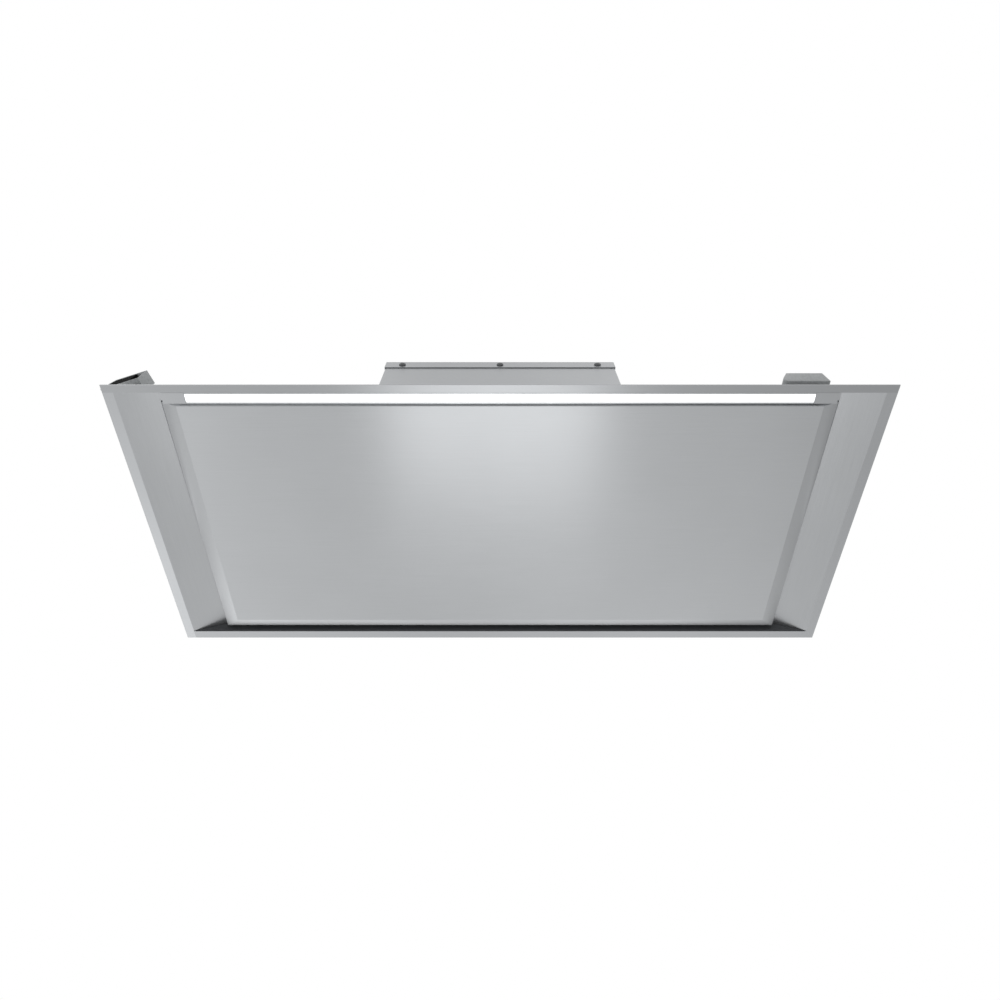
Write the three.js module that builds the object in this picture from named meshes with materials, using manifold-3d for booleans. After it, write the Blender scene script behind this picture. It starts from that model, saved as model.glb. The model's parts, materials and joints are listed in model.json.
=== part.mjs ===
// Ceiling range hood, 880 x 380 mm. Millimetres, +Z up, origin at the middle of the trim's underside,
// -Y towards the cook. The hood hangs in a ceiling cut-out and only its trim and cover panel show.
import * as THREE from 'three';
import { mergeVertices } from 'three/addons/utils/BufferGeometryUtils.js';
import Module from 'manifold-3d';

const wasm = await Module();
wasm.setup();

// Driving sizes
const fit = 0.3; // gap between pieces that seat on each other
const trimWidth = 880;
const trimDepth = 380;
const trimSheet = 1.5;
const sideFlange = 12;
const nearFlange = 9.1;
const cheekWidth = 42; // level run of each sloping cheek
const cheekRise = 15;
const lipTop = 24; // underside of the ledge that carries the filters
const ledgeDepth = 17;
const channelDepth = 15.9; // lamp channel behind the near flange
const plenumTop = 50;
const plenumSheet = 1.2;
const towerWidth = 347;
const towerSetback = 86; // from the trim's near edge to the tower's front
const towerTop = 291.5;
const towerSheet = 1.2;
const railSheet = 1.2;
const coverSkirt = 20;
const collarBore = 146;
const collarWall = 1.6;
const collarHeight = 60;
const fanZ = 165;
const fanRadius = 72;
const fanLength = 100;
const scrollDepth = 104;
const scrollSheet = 2;

// Places worked out from the driving sizes
const halfWidth = trimWidth / 2;
const nearEdge = -trimDepth / 2;
const rearEdge = trimDepth / 2;
const cheekOuter = halfWidth - sideFlange;
const openingHalf = cheekOuter - cheekWidth;
const channelNear = nearEdge + nearFlange;
const channelRear = channelNear + channelDepth;
const rearOpening = rearEdge - sideFlange;
const ledgeTop = lipTop + trimSheet;
const railWall = rearOpening - railSheet - fit;
const plenumNear = channelRear + 5;
const towerFront = nearEdge + towerSetback;
const towerBack = rearEdge - 25;
const collarY = towerBack - 83;
const fanY = collarY - fanRadius;
const rightClampX = openingHalf - 17;
const cornerClear = rightClampX - 13; // the channel is cut low outside this for the clamp to turn

// Materials
const finish = (name, color, roughness, metalness = 0) => {
  return new THREE.MeshStandardMaterial({ name, color, roughness, metalness });
};
const satin = finish('satin_steel', 0xb4b8ba, 0.35, 1);
const galvanised = finish('galvanised', 0xa6abad, 0.5, 0.9);
const darkPaint = finish('dark_paint', 0x2b2d2f, 0.6);
const aluminium = finish('aluminium', 0xc3c6c8, 0.4, 1);
const blackPlastic = finish('black_plastic', 0x26282a, 0.6);
const greyPlastic = finish('grey_plastic', 0x8b8f92, 0.6);
const opal = finish('opal_cover', 0xffffff, 0.5);
const boardGreen = finish('circuit_board', 0x2f6a46, 0.6);
const zinc = finish('zinc', 0xb9bcbd, 0.4, 1);

const hood = new THREE.Group();

// A closed geometry as a solid for booleans, and back
function solid(geometry) {
  const plain = geometry.clone();
  plain.deleteAttribute('normal');
  plain.deleteAttribute('uv');
  const merged = mergeVertices(plain.index ? plain.toNonIndexed() : plain, 1e-4);
  const mesh = new wasm.Mesh({
    numProp: 3,
    vertProperties: new Float32Array(merged.attributes.position.array),
    triVerts: new Uint32Array(merged.index.array),
  });
  mesh.merge();
  return new wasm.Manifold(mesh);
}

function geometryOf(manifold) {
  const mesh = manifold.getMesh();
  const geometry = new THREE.BufferGeometry();
  geometry.setAttribute('position', new THREE.BufferAttribute(mesh.vertProperties, 3));
  geometry.setIndex(new THREE.BufferAttribute(mesh.triVerts, 1));
  return geometry;
}

const join = (...parts) => geometryOf(parts.map(solid).reduce((sum, part) => sum.add(part)));
const cut = (body, ...tools) => geometryOf(tools.map(solid).reduce((rest, tool) => rest.subtract(tool), solid(body)));

function add(name, geometry, material, place = [0, 0, 0]) {
  const mesh = new THREE.Mesh(geometry, material);
  mesh.name = name;
  mesh.position.set(...place);
  hood.add(mesh);
  return mesh;
}

// Box between two corners
function block(x0, x1, y0, y1, z0, z1) {
  return new THREE.BoxGeometry(x1 - x0, y1 - y0, z1 - z0).translate((x0 + x1) / 2, (y0 + y1) / 2, (z0 + z1) / 2);
}

// Revolved profile of [radius, height] points about +Z
function turned(points, segments = 32) {
  const profile = points.map(([radius, height]) => new THREE.Vector2(radius, height));
  return new THREE.LatheGeometry(profile, segments).rotateX(Math.PI / 2);
}

function rod(radius, z0, z1, segments = 20) {
  return turned([[0, z0], [radius, z0], [radius, z1], [0, z1]], segments);
}

function tube(outer, inner, z0, z1, segments = 32) {
  return turned([[inner, z0], [outer, z0], [outer, z1], [inner, z1], [inner, z0]], segments);
}

// Turns a shape made along +Z so that it lies along +X
const alongX = (geometry) => geometry.rotateY(Math.PI / 2);

// Sheet metal bent along a line of points, thickened to the left of the way it runs
function bentOutline(points, thickness) {
  const way = (a, b) => new THREE.Vector2(b[0] - a[0], b[1] - a[1]).normalize();
  const offset = points.map((point, i) => {
    const before = i > 0 ? way(points[i - 1], point) : way(point, points[i + 1]);
    const after = i < points.length - 1 ? way(point, points[i + 1]) : before;
    const middle = before.clone().add(after).normalize();
    const reach = thickness / middle.dot(before);
    return [point[0] - middle.y * reach, point[1] + middle.x * reach];
  });
  return [...points, ...offset.reverse()];
}

function outlineShape(points) {
  return new THREE.Shape(points.map(([u, v]) => new THREE.Vector2(u, v)));
}

// Outline in Y and Z, drawn out along X
function extrudeX(points, x0, x1) {
  const geometry = new THREE.ExtrudeGeometry(outlineShape(points), { depth: x1 - x0, bevelEnabled: false });
  return geometry.applyMatrix4(new THREE.Matrix4().set(0, 0, 1, x0, 1, 0, 0, 0, 0, 1, 0, 0, 0, 0, 0, 1));
}

// Outline in X and Z, drawn out along Y
function extrudeY(points, y0, y1) {
  const geometry = new THREE.ExtrudeGeometry(outlineShape(points), { depth: y1 - y0, bevelEnabled: false });
  return geometry.rotateX(Math.PI / 2).translate(0, y1, 0);
}

// Shell or block lofted through rectangles [x0, x1, y0, y1, z], capped at both ends
function loft(rings) {
  const corners = rings.flatMap(([x0, x1, y0, y1, z]) => [x0, y0, z, x1, y0, z, x1, y1, z, x0, y1, z]);
  const faces = [0, 2, 1, 0, 3, 2];
  for (let ring = 0; ring < rings.length - 1; ring += 1) {
    for (let side = 0; side < 4; side += 1) {
      const low = ring * 4 + side;
      const next = ring * 4 + ((side + 1) % 4);
      faces.push(low, next, next + 4, low, next + 4, low + 4);
    }
  }
  const last = (rings.length - 1) * 4;
  faces.push(last, last + 1, last + 2, last, last + 2, last + 3);
  const geometry = new THREE.BufferGeometry();
  geometry.setAttribute('position', new THREE.Float32BufferAttribute(corners, 3));
  geometry.setIndex(faces);
  return geometry;
}

// Trim: flange with upstands, lamp channel and filter ledge at the front, cheeks at the sides
function buildTrim() {
  const cheek = bentOutline([
    [openingHalf, lipTop],
    [openingHalf, cheekRise],
    [cheekOuter, 0],
    [halfWidth, 0],
  ], trimSheet);
  const cheekEnd = railWall - fit;
  const rightCheek = extrudeY(cheek, channelNear, cheekEnd);
  const leftCheek = rightCheek.clone().rotateZ(Math.PI).translate(0, channelNear + cheekEnd, 0);
  const nearWall = bentOutline([[nearEdge, 0], [channelNear, 0], [channelNear, cheekRise + trimSheet]], trimSheet);
  const channel = bentOutline([
    [channelNear - trimSheet, cheekRise],
    [channelRear, cheekRise],
    [channelRear, lipTop],
    [channelRear + ledgeDepth, lipTop],
  ], trimSheet);
  const reach = openingHalf + trimSheet;
  const frame = join(
    rightCheek,
    leftCheek,
    extrudeX(nearWall, -halfWidth, halfWidth),
    extrudeX(channel, -reach, reach),
    block(-halfWidth, halfWidth, rearOpening, rearEdge, 0, trimSheet),
    block(-halfWidth, -cheekOuter, nearEdge, rearEdge, 0, trimSheet),
    block(cheekOuter, halfWidth, nearEdge, rearEdge, 0, trimSheet),
    block(-cheekOuter, cheekOuter, rearOpening, rearOpening + trimSheet, 0, ledgeTop),
  );
  const [y0, y1] = [channelNear - trimSheet, plenumNear - fit];
  const [z0, z1] = [cheekRise + trimSheet, ledgeTop + 1];
  const rightCorner = block(cornerClear, reach + 1, y0, y1, z0, z1);
  const leftCorner = block(-reach - 1, -openingHalf + 1, y0, y1, z0, z1);
  return cut(frame, rightCorner, leftCorner);
}
add('trim_frame', buildTrim(), satin);

// Dark rail behind the cover panel: closes the rear of the opening and carries the hinges
const railBottom = 1;
const rail = bentOutline([[railWall - ledgeDepth, lipTop], [railWall, lipTop], [railWall, railBottom]], railSheet);
add('rear_hinge_rail', extrudeX(rail, -cheekOuter + 1, cheekOuter - 1), darkPaint);

// Plenum: sheet box over the opening, with a hole under the motor tower
const plenumBottom = ledgeTop + fit;
const plenumBack = railWall + railSheet;
const plenumHalf = openingHalf + trimSheet;
const inset = (ring, by) => [ring[0] + by, ring[1] - by, ring[2] + by, ring[3] - by];
const plenumRing = [-plenumHalf, plenumHalf, plenumNear, plenumBack];
const plenumShell = loft([
  [...inset(plenumRing, plenumSheet), plenumTop - plenumSheet],
  [...inset(plenumRing, plenumSheet), plenumBottom],
  [...plenumRing, plenumBottom],
  [...plenumRing, plenumTop],
]);
const ductHalf = towerWidth / 2 - 14;
const plenumHole = block(-ductHalf, ductHalf, towerFront + 12, towerBack - 12, plenumBottom, plenumTop + 5);
add('plenum_box', cut(plenumShell, plenumHole), galvanised);

// Motor tower: four walls with a flange at the foot, seated on the plenum
const towerBase = plenumTop + fit;
const towerHalf = towerWidth / 2;
const towerRing = [-towerHalf, towerHalf, towerFront, towerBack];
const towerFoot = 10;
const tower = cut(
  join(
    block(...towerRing, towerBase, towerTop - fit),
    block(-towerHalf - towerFoot, towerHalf + towerFoot, towerFront, towerBack, towerBase, towerBase + towerSheet),
  ),
  block(...inset(towerRing, towerSheet), towerBase - 1, towerTop + 1),
);
add('motor_tower', tower, satin);

// Cover of the tower: top sheet with a folded skirt and the outlet hole
const coverSheet = 1.2;
const coverTop = towerTop + coverSheet;
const coverRing = inset(towerRing, -(coverSheet + fit));
const cover = cut(
  loft([
    [...inset(coverRing, coverSheet), towerTop],
    [...inset(coverRing, coverSheet), towerTop - coverSkirt],
    [...coverRing, towerTop - coverSkirt],
    [...coverRing, coverTop],
  ]),
  rod(collarBore / 2, towerTop - 5, coverTop + 5, 48).translate(0, collarY, 0),
);
add('tower_cover', cover, satin);

// Outlet collar with a stop ring for the flaps
const collarBase = coverTop + fit;
const flapZ = collarBase + 32;
const flapSheet = 1.6;
const boreRadius = collarBore / 2;
const collarOuter = boreRadius + collarWall;
const stopTop = flapZ - flapSheet / 2 - fit;
const stopRadius = boreRadius - 2.5;
const collar = turned([
  [boreRadius, collarBase],
  [collarOuter + 12, collarBase],
  [collarOuter + 12, collarBase + 2],
  [collarOuter, collarBase + 2],
  [collarOuter, collarBase + collarHeight],
  [boreRadius, collarBase + collarHeight],
  [boreRadius, stopTop],
  [stopRadius, stopTop],
  [stopRadius, stopTop - 2],
  [boreRadius, stopTop - 4],
  [boreRadius, collarBase],
], 48);
add('outlet_collar', collar, blackPlastic, [0, collarY, 0]);

// Two non-return flaps on one pin across the collar
const pinRadius = 2;
const pinLength = 2 * (stopRadius - fit);
add('flap_pin', alongX(rod(pinRadius, -pinLength / 2, pinLength / 2, 12)), zinc, [0, collarY, flapZ]);
const knuckleOuter = 4;
const knuckleHole = pinRadius + fit;
const flapRadius = boreRadius - 0.8;

function flap(direction, knuckles) {
  const disc = rod(flapRadius, -flapSheet / 2, flapSheet / 2, 48);
  const [near, far] = direction > 0 ? [knuckleOuter + 1, collarBore] : [-collarBore, -knuckleOuter - 1];
  const half = block(-collarBore, collarBore, near, far, -5, 5);
  const leaf = solid(disc).intersect(solid(half));
  const barrels = knuckles.map(([x0, x1]) => solid(alongX(rod(knuckleOuter, x0, x1, 16))));
  const webs = knuckles.map(([x0, x1]) => {
    const [y0, y1] = direction > 0 ? [0, knuckleOuter + 2] : [-knuckleOuter - 2, 0];
    return solid(block(x0, x1, y0, y1, -flapSheet / 2, flapSheet / 2));
  });
  const body = [...barrels, ...webs].reduce((sum, part) => sum.add(part), leaf);
  return geometryOf(body.subtract(solid(alongX(rod(knuckleHole, -90, 90, 16)))));
}
const outerKnuckle = 58;
const innerKnuckle = 26;
add('front_flap', flap(-1, [[-outerKnuckle, -innerKnuckle - 1], [innerKnuckle + 1, outerKnuckle]]), greyPlastic,
  [0, collarY, flapZ]);
add('rear_flap', flap(1, [[-innerKnuckle, innerKnuckle]]), greyPlastic, [0, collarY, flapZ]);

// Scroll of the blower: a spiral wall that opens into an upright neck
const scrollSmall = fanRadius + 8;
const scrollLarge = fanRadius + 43;
const scrollTurn = (300 * Math.PI) / 180;
const scrollSteps = 30;
const neckTop = towerTop - fit;
const neckInner = collarY - 40;
function scrollPoint(share, extra = 0) {
  const radius = scrollLarge + (scrollSmall - scrollLarge) * share + extra;
  return [fanY + radius * Math.cos(scrollTurn * share), fanZ - radius * Math.sin(scrollTurn * share)];
}
const spiral = Array.from({ length: scrollSteps + 1 }, (_, i) => scrollPoint(i / scrollSteps));
const tongue = spiral[scrollSteps];
const scrollLine = [
  [fanY + scrollLarge, neckTop],
  ...spiral,
  [neckInner, tongue[1] + 12],
  [neckInner, neckTop],
].reverse();
const wallOutline = bentOutline(scrollLine, scrollSheet);
add('scroll_wall', extrudeX(wallOutline, -scrollDepth / 2, scrollDepth / 2), blackPlastic);
const inletRadius = fanRadius - 12;
const plateOutline = [
  [fanY + scrollLarge + scrollSheet, neckTop],
  ...Array.from({ length: scrollSteps + 1 }, (_, i) => scrollPoint(i / scrollSteps, scrollSheet)),
  [neckInner - scrollSheet, tongue[1] + 12],
  [neckInner - scrollSheet, neckTop],
];
const plateStart = scrollDepth / 2 + fit;
const plateEnd = plateStart + 2;

// Side plate with a rolled inlet ring
function scrollPlate(side) {
  const inlet = alongX(rod(inletRadius, -80, 80, 40)).translate(0, fanY, fanZ);
  const [x0, x1] = side > 0 ? [plateStart, plateEnd] : [-plateEnd, -plateStart];
  const ring = turned([
    [inletRadius - 1, 0],
    [inletRadius + 4, 0],
    [inletRadius + 3, 4],
    [inletRadius, 6],
    [inletRadius - 1, 5],
    [inletRadius - 1, 0],
  ], 40);
  const bell = side > 0 ? alongX(ring) : ring.rotateY(-Math.PI / 2);
  bell.translate(side > 0 ? x0 + 1 : x1 - 1, fanY, fanZ);
  return join(cut(extrudeX(plateOutline, x0, x1), inlet), bell);
}
add('left_scroll_plate', scrollPlate(-1), blackPlastic);
add('right_scroll_plate', scrollPlate(1), blackPlastic);

// Impeller: forward-curved blades between a hub disc and two end rings
const bladeCount = 32;
const bladeDepth = 13;
const bladeSheet = 1.2;
const ringSheet = 2.4;
const shaftRadius = 4;
const motorRadius = 40;
const motorEnd = -4;
const motorStart = -56;
function blade() {
  const inner = fanRadius - bladeDepth - 0.6;
  const arcPoints = Array.from({ length: 4 }, (_, i) => {
    const share = i / 3;
    const radius = inner + (bladeDepth - 0.6) * share;
    const turn = 0.13 * Math.sin((share * Math.PI) / 2) ** 2 + 0.1 * share ** 2;
    return [radius * Math.cos(turn), radius * Math.sin(turn)];
  });
  return extrudeX(bentOutline(arcPoints, bladeSheet), -fanLength / 2, fanLength / 2);
}
function buildImpeller() {
  const blades = Array.from({ length: bladeCount }, (_, i) => {
    return solid(blade().rotateX((i * 2 * Math.PI) / bladeCount));
  });
  const ringInner = fanRadius - bladeDepth;
  const half = fanLength / 2;
  const leftRing = alongX(tube(fanRadius, ringInner, -half, -half + ringSheet, 48));
  const rightRing = alongX(tube(fanRadius, ringInner, half - ringSheet, half, 48));
  const disc = alongX(turned([
    [shaftRadius + fit, 0],
    [11, 0],
    [13, 8],
    [fanRadius - 3, 8],
    [fanRadius - 3, 8 + ringSheet],
    [11, 8 + ringSheet],
    [11, 20],
    [shaftRadius + fit, 20],
    [shaftRadius + fit, 0],
  ], 36));
  return geometryOf([leftRing, rightRing, disc].map(solid).concat(blades).reduce((sum, part) => sum.add(part)));
}
add('impeller', buildImpeller(), blackPlastic, [0, fanY, fanZ]);
add('motor_shaft', alongX(rod(shaftRadius, motorEnd + fit, 20, 16)), zinc, [0, fanY, fanZ]);

// Motor: rounded can with a rear boss, held by a three-arm bracket on the left inlet
const motorCan = alongX(turned([
  [0, motorStart],
  [16, motorStart],
  [18, motorStart + 5],
  [motorRadius - 4, motorStart + 6],
  [motorRadius, motorStart + 11],
  [motorRadius, motorEnd - 10],
  [motorRadius - 5, motorEnd - 4],
  [12, motorEnd - 3],
  [12, motorEnd],
  [0, motorEnd],
], 36));
add('fan_motor', motorCan, aluminium, [0, fanY, fanZ]);
function motorBracket() {
  const plate = 3;
  const front = motorStart - fit;
  const hub = alongX(tube(24, 5, front - plate, front, 32));
  const rimX = -(plateEnd + 6 + fit);
  const arms = Array.from({ length: 3 }, (_, i) => {
    const arm = block(rimX - plate, rimX, -6, 6, 10, inletRadius + 10);
    const pad = block(rimX - plate, -plateEnd - fit, -6, 6, inletRadius + 6, inletRadius + 14);
    const neck = block(rimX - plate, front, -6, 6, 8, 22);
    return join(arm, pad, neck).rotateX((i * 2 * Math.PI) / 3);
  });
  return join(hub, ...arms);
}
add('motor_bracket', motorBracket(), zinc, [0, fanY, fanZ]);

// Straps that hang the blower from the tower's front and back walls
const strapSheet = 2;
const strapWidth = 16;
const strapLow = towerTop - 39.5;
const strapFold = 20;
function blowerStrap(side) {
  const x0 = side > 0 ? plateEnd + fit : -plateEnd - fit - strapSheet;
  const [y0, y1] = [towerFront + towerSheet + fit, towerBack - towerSheet - fit];
  const [z0, z1] = [strapLow, strapLow + strapWidth];
  const bar = block(x0, x0 + strapSheet, y0, y1, z0, z1);
  const [e0, e1] = side > 0 ? [x0, x0 + strapFold] : [x0 + strapSheet - strapFold, x0 + strapSheet];
  return join(bar, block(e0, e1, y0, y0 + strapSheet, z0, z1), block(e0, e1, y1 - strapSheet, y1, z0, z1));
}
add('left_blower_strap', blowerStrap(-1), zinc);
add('right_blower_strap', blowerStrap(1), zinc);

// Lamp: aluminium channel, board and opal cover in the trim's channel, with steel end blocks
const lampEnd = openingHalf - 10;
const lampBlock = 25.7; // length of each steel end block
const lampHalf = lampEnd - lampBlock - fit;
const lampWidth = 13;
const lampNear = channelNear + fit;
const lampRear = lampNear + lampWidth;
const lampTop = cheekRise - fit;
const lampWall = 1;
const coverDepth = 2.4;
const coverBottom = 0.3;
const profile = cut(
  block(-lampHalf, lampHalf, lampNear, lampRear, coverBottom, lampTop),
  block(-lampHalf - 1, lampHalf + 1, lampNear + lampWall, lampRear - lampWall, coverBottom - 1, lampTop - lampWall),
);
add('lamp_profile', profile, aluminium);
const boardInset = lampWall + fit;
add('lamp_board', block(-lampHalf + 2, lampHalf - 2, lampNear + boardInset, lampRear - boardInset,
  lampTop - lampWall - fit - 1.6, lampTop - lampWall - fit), boardGreen);
add('lamp_cover', block(-lampHalf, lampHalf, lampNear + boardInset, lampRear - boardInset,
  coverBottom, coverBottom + coverDepth), opal);
[['left', -1], ['right', 1]].forEach(([side, sign]) => {
  const inner = lampEnd - lampBlock;
  const [x0, x1] = sign > 0 ? [inner, lampEnd] : [-lampEnd, -inner];
  add(`${side}_lamp_end`, block(x0, x1, lampNear, lampRear, coverBottom, lampTop), satin);
});

// Cover panel: flat face, three sloping rims and a narrow front rim, folded up at the edge
const panelGap = 6; // air slot along each side
const rearGap = 6;
const sideRim = 19;
const rearRim = 16.8;
const nearRim = 4;
const panelHalf = openingHalf - panelGap - sideRim;
const panelNear = channelRear + 3;
const panelRear = rearOpening - rearGap - rearRim;
const panelZ = 1;
const rimRise = 5;
const returnRise = 3;
const panelSheet = 1.2;
const edgeRing = [-panelHalf - sideRim, panelHalf + sideRim, panelNear - nearRim, panelRear + rearRim];
const faceRing = [-panelHalf, panelHalf, panelNear, panelRear];
const rimZ = panelZ + rimRise;
const panelTop = rimZ + returnRise;
add('cover_panel', loft([
  [...faceRing, panelZ],
  [...edgeRing, rimZ],
  [...edgeRing, panelTop],
  [...inset(edgeRing, panelSheet), panelTop],
  [...inset(edgeRing, panelSheet), rimZ + panelSheet / 2],
  [...inset(faceRing, panelSheet / 2), panelZ + panelSheet],
]), satin);

// Backing: shallow tray lying in the panel that stiffens it and carries its hinges
const backingTop = 10;
const backingBottom = panelZ + panelSheet + fit;
const backingRing = inset(faceRing, 5);
const backingSlope = 6;
add('panel_backing', loft([
  [...inset(backingRing, backingSlope + panelSheet), backingTop - panelSheet],
  [...inset(backingRing, panelSheet), backingBottom],
  [...backingRing, backingBottom],
  [...inset(backingRing, backingSlope), backingTop],
]), galvanised);

// Panel hinges at the rear: hanging fork on the rail, pin, and knuckle on the backing
const hingeX = panelHalf - 61;
const hingeY = rearOpening - 15;
const hingeZ = 13;
const hingePin = 2;
const knuckleWidth = 20;
const forkPlate = 2;
const hingePinHole = hingePin + fit;
[['left', -1], ['right', 1]].forEach(([side, sign]) => {
  const knuckle = cut(
    join(
      alongX(rod(4.2, -knuckleWidth / 2, knuckleWidth / 2, 20)),
      block(-knuckleWidth / 2, knuckleWidth / 2, -44, 0, -(hingeZ - backingTop) + fit, -0.2),
    ),
    alongX(rod(hingePinHole, -knuckleWidth, knuckleWidth, 16)),
  );
  add(`${side}_panel_knuckle`, knuckle, zinc, [sign * hingeX, hingeY, hingeZ]);
  const inner = knuckleWidth / 2 + fit;
  const outer = inner + forkPlate;
  const top = lipTop - fit - hingeZ;
  const fork = cut(
    join(
      block(-outer, -inner, -5, 3.5, -4.5, top),
      block(inner, outer, -5, 3.5, -4.5, top),
      block(-outer, outer, -5, 3.5, top - forkPlate, top),
    ),
    alongX(rod(hingePinHole, -knuckleWidth, knuckleWidth, 16)),
  );
  add(`${side}_hinge_fork`, fork, zinc, [sign * hingeX, hingeY, hingeZ]);
  add(`${side}_hinge_pin`, alongX(rod(hingePin, -outer - 1, outer + 1, 16)), zinc, [sign * hingeX, hingeY, hingeZ]);
});

// Panel catches: spring clips under the filter ledge, strikes on the backing
const catchX = panelHalf - 111;
const catchY = channelRear + 9;
[['left', -1], ['right', 1]].forEach(([side, sign]) => {
  const strikeTop = backingTop + 5;
  const clip = join(
    block(-12, 12, -8, 7, lipTop - fit - 2, lipTop - fit),
    block(-12, 12, -8, -6, strikeTop + fit, lipTop - fit),
    block(-12, 12, -8, 4, strikeTop + fit, strikeTop + fit + 1.6),
  );
  add(`${side}_panel_catch`, clip, zinc, [sign * catchX, catchY, 0]);
  const strike = join(
    block(-9, 9, 10, 22, backingTop + fit, backingTop + fit + 1.5),
    block(-9, 9, 10, 12, backingTop + fit, strikeTop),
    block(-9, 9, -4, 12, strikeTop - 1.5, strikeTop),
  );
  add(`${side}_panel_strike`, strike, zinc, [sign * catchX, catchY, 0]);
});

// Grease filters: two cassettes lying on the ledges, each with a frame, a folded mesh and a latch
const filterBottom = ledgeTop + fit;
const filterRise = 9;
const filterBar = 12;
const filterNear = channelRear + ledgeDepth + 1.4;
const filterRear = railWall - 1;
const filterOuter = openingHalf - 6;
const latchWidth = 40;
const latchRise = 4;
const meshWaves = 26;
const meshSheet = 0.8;
[['left', -1], ['right', 1]].forEach(([side, sign]) => {
  const [x0, x1] = sign > 0 ? [1, filterOuter] : [-filterOuter, -1];
  const middle = (x0 + x1) / 2;
  const latchZ = filterBottom + 2;
  const slot = block(middle - latchWidth / 2 - fit, middle + latchWidth / 2 + fit, filterNear - 5,
    filterNear + filterBar + 5, latchZ - fit, latchZ + latchRise + fit);
  const frame = cut(
    block(x0, x1, filterNear, filterRear, filterBottom, filterBottom + filterRise),
    block(x0 + filterBar, x1 - filterBar, filterNear + filterBar, filterRear - filterBar,
      filterBottom - 1, filterBottom + filterRise + 1),
    slot,
  );
  add(`${side}_filter_frame`, frame, aluminium);
  const span = x1 - x0 - 2 * (filterBar + fit);
  const start = x0 + filterBar + fit;
  const folds = Array.from({ length: meshWaves * 2 + 1 }, (_, i) => {
    return [start + (span * i) / (meshWaves * 2), filterBottom + (i % 2 === 0 ? 1 : 6)];
  });
  const mesh = extrudeY(bentOutline(folds, meshSheet), filterNear + filterBar + fit, filterRear - filterBar - fit);
  const around = [filterNear, filterRear, filterBottom - filterRise, filterBottom + 2 * filterRise];
  const latchGap = latchWidth / 2 + 3;
  const latchSpace = [middle - latchGap, middle + latchGap, filterNear, filterNear + filterBar + 16];
  add(`${side}_filter_mesh`, cut(
    mesh,
    block(start - filterBar, start, ...around),
    block(start + span, start + span + filterBar, ...around),
    block(...latchSpace, filterBottom - filterRise, filterBottom + 2 * filterRise),
  ), aluminium);
  const latch = join(
    block(-latchWidth / 2, latchWidth / 2, -5, filterBar + 4, 0, latchRise),
    block(-latchWidth / 2, latchWidth / 2, filterBar + 2, filterBar + 4, -3, latchRise),
  );
  add(`${side}_filter_latch`, latch, blackPlastic, [middle, filterNear, latchZ]);
});

// Electrics on the plenum's roof: control box with lid, board, terminals, capacitor and gland; lamp driver
const boxWall = 2;
const boxLeft = towerHalf + 22.5;
const boxRight = plenumHalf - 41.5;
const boxNear = towerFront + 44;
const boxDepth = 170;
const controlRing = [boxLeft, boxRight, boxNear, boxNear + boxDepth];
const controlBase = plenumTop + fit;
const controlTop = controlBase + 37.7;
const glandPlace = [boxLeft + 34, controlRing[3] - boxWall / 2, controlBase + 19.7];
const controlShell = cut(
  block(...controlRing, controlBase, controlTop),
  block(...inset(controlRing, boxWall), controlBase + boxWall, controlTop + 1),
  rod(8, -10, 10, 24).rotateX(Math.PI / 2).translate(...glandPlace),
);
add('control_box', controlShell, greyPlastic);
add('control_box_lid', join(
  block(...controlRing, controlTop + fit, controlTop + fit + boxWall),
  block(...inset(controlRing, boxWall + fit), controlTop - 3, controlTop + fit + 1),
), greyPlastic);
const floorZ = controlBase + boxWall;
const terminalPitch = 8;
const terminalWidth = 28;
const terminalRise = 18;
const terminalX = boxRight - 10 - terminalWidth;
const boardX = boxLeft + 8;
const boardWidth = terminalX - 8 - boardX;
const boardDepth = boxDepth - 60;
const boardFoot = 8;
const boardRise = 6;
const boardSheet = 1.6;
const footPlaces = [2, boardWidth - 2 - boardFoot].flatMap((x) => [[x, 2], [x, boardDepth - 2 - boardFoot]]);
const boardFeet = footPlaces.map(([x, y]) => block(x, x + boardFoot, y, y + boardFoot, fit, boardRise + 0.5));
const board = join(block(0, boardWidth, 0, boardDepth, boardRise, boardRise + boardSheet), ...boardFeet);
add('control_board', board, boardGreen, [boardX, boxNear + 10, floorZ]);
const capacitorRadius = 13;
const capacitorLength = 58;
add('run_capacitor', alongX(rod(capacitorRadius, 0, capacitorLength, 28)), greyPlastic,
  [boxLeft + 10, controlRing[3] - 30, floorZ + fit + capacitorRadius]);
const terminals = Array.from({ length: 5 }, (_, i) => {
  return rod(2.4, terminalRise - 6, terminalRise + 12, 12).translate(i % 2 === 0 ? 8 : 20, 10 + i * terminalPitch, 0);
});
const terminalBody = block(0, terminalWidth, 0, 20 + 4 * terminalPitch, fit, terminalRise);
add('terminal_block', cut(terminalBody, ...terminals), greyPlastic, [terminalX, boxNear + 14, floorZ]);
const gland = turned([
  [4, -6],
  [7.6, -6],
  [7.6, boxWall / 2 + fit],
  [11, boxWall / 2 + fit],
  [11, 8],
  [8, 14],
  [4, 14],
  [4, -6],
], 24).rotateX(-Math.PI / 2);
add('cable_gland', gland, blackPlastic, glandPlace);
const driverRing = [-plenumHalf + 57.5, -towerHalf - 31.5, towerFront + 74, towerFront + 118];
const driverTop = towerBase + 23.7;
add('lamp_driver', loft([
  [...driverRing, towerBase],
  [...driverRing, driverTop - 3],
  [...inset(driverRing, 3), driverTop],
]), greyPlastic);

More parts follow.
